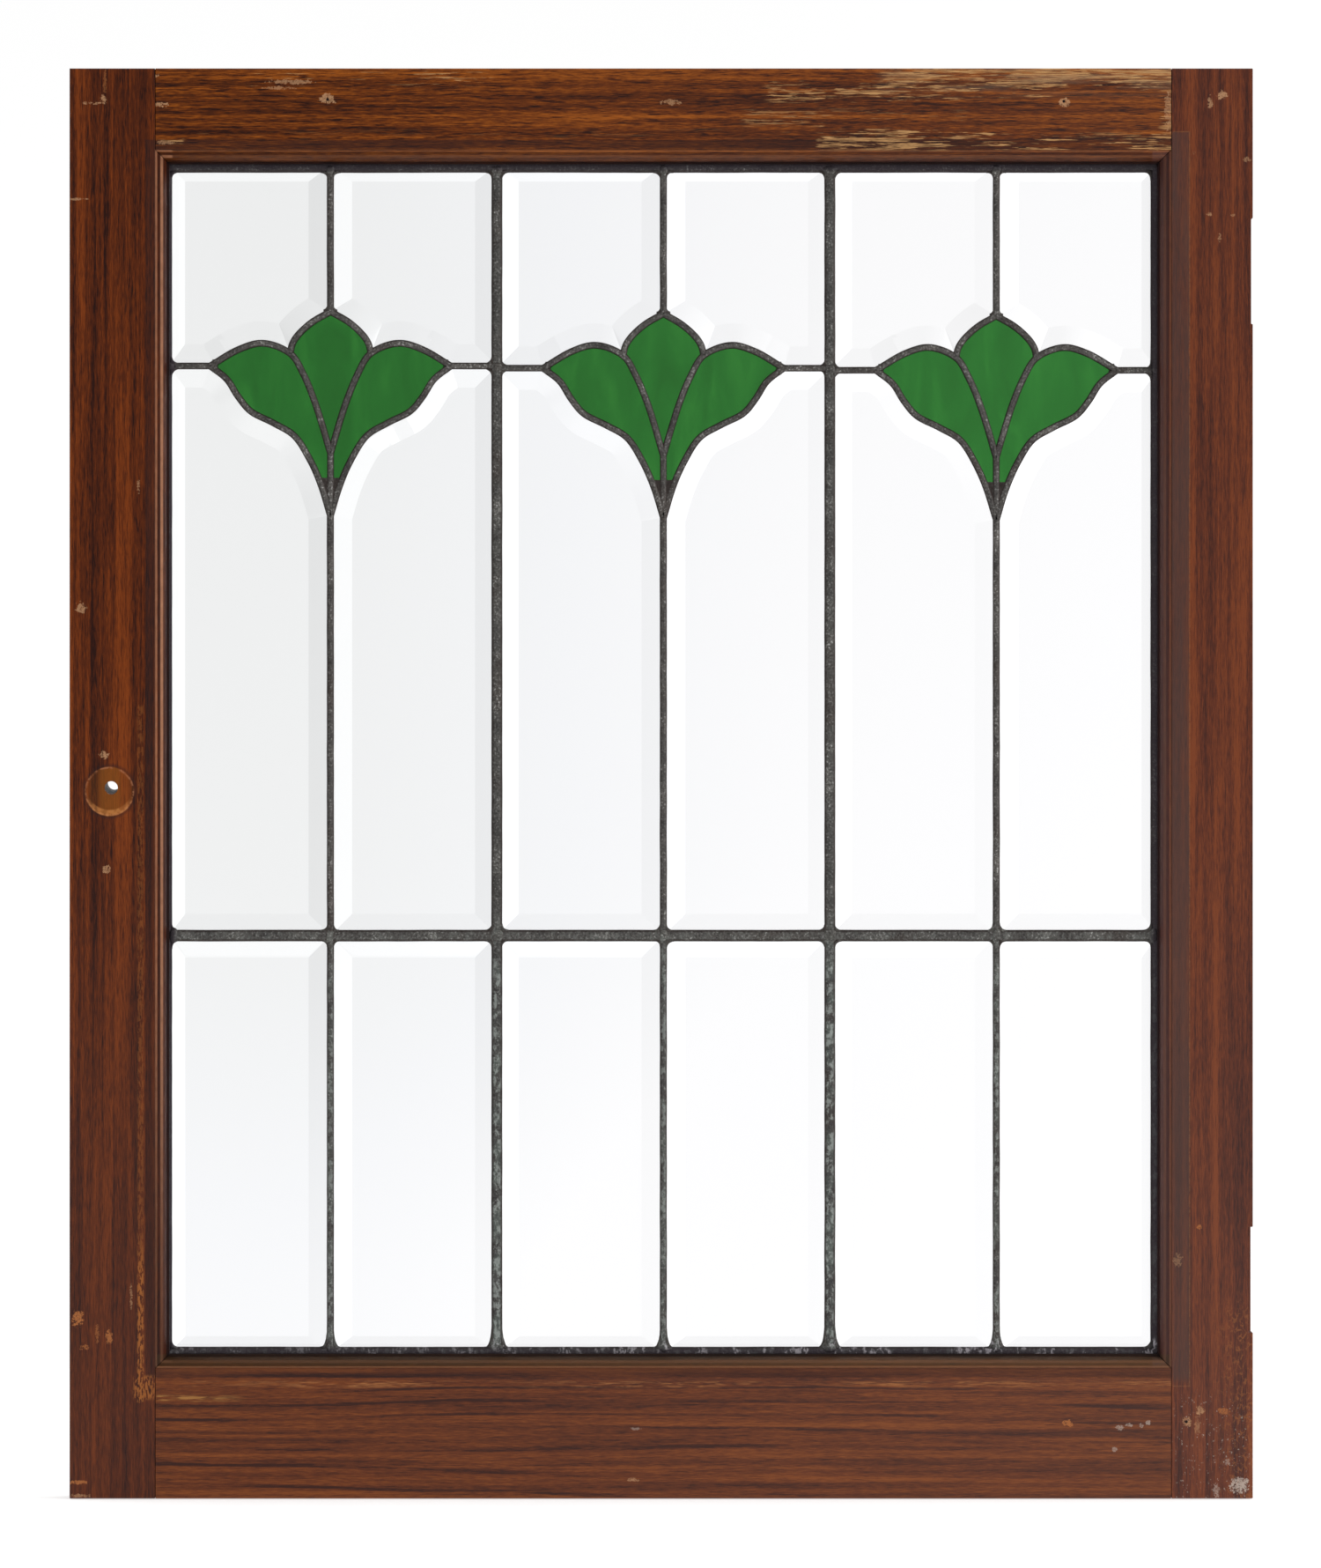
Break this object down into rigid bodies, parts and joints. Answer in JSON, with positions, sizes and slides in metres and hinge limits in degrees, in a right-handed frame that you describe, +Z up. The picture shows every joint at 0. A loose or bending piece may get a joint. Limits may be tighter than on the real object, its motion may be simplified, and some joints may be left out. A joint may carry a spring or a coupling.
{
  "type": "leaded glass window",
  "caption": "Small hinged wooden sash holding a leaded panel of bevelled clear lights and green lily flowers with curved lead cames.",
  "frame": {"origin": "centre of the floor of the upper hinge gain, in the hinge stile's edge", "axes": "+Z up along the stiles, -Y out of the moulded front face, +X out of the hinge edge"},
  "size_m": [0.711, 0.035, 0.859],
  "materials": {
    "stained_wood": "satin",
    "bead_wood": "matte",
    "lead": "matte",
    "clear_glass": "polished",
    "green_glass": "polished"
  },
  "bodies": {
    "root": {"lock_stile": "stained_wood", "hinge_stile": "stained_wood", "top_rail": "stained_wood", "bottom_rail": "stained_wood", "left_bead": "bead_wood", "right_bead": "bead_wood", "top_bead": "bead_wood", "bottom_bead": "bead_wood", "border_left": "lead", "border_right": "lead", "border_top": "lead", "border_bottom": "lead", "heavy_upright_1": "lead", "heavy_upright_2": "lead", "top_upright_1": "lead", "top_upright_2": "lead", "top_upright_3": "lead", "stem_1": "lead", "stem_2": "lead", "stem_3": "lead", "bottom_upright_1": "lead", "bottom_upright_2": "lead", "bottom_upright_3": "lead", "cross_1": "lead", "cross_2": "lead", "cross_3": "lead", "flower_1_cames": "lead", "flower_2_cames": "lead", "flower_3_cames": "lead", "top_light_1": "clear_glass", "top_light_2": "clear_glass", "top_light_3": "clear_glass", "top_light_4": "clear_glass", "top_light_5": "clear_glass", "top_light_6": "clear_glass", "middle_light_1": "clear_glass", "middle_light_2": "clear_glass", "middle_light_3": "clear_glass", "middle_light_4": "clear_glass", "middle_light_5": "clear_glass", "middle_light_6": "clear_glass", "bottom_light_1": "clear_glass", "bottom_light_2": "clear_glass", "bottom_light_3": "clear_glass", "bottom_light_4": "clear_glass", "bottom_light_5": "clear_glass", "bottom_light_6": "clear_glass", "flower_1_left_petal": "green_glass", "flower_1_centre_petal": "green_glass", "flower_1_right_petal": "green_glass", "flower_2_left_petal": "green_glass", "flower_2_centre_petal": "green_glass", "flower_2_right_petal": "green_glass", "flower_3_left_petal": "green_glass", "flower_3_centre_petal": "green_glass", "flower_3_right_petal": "green_glass"}
  },
  "joints": []
}
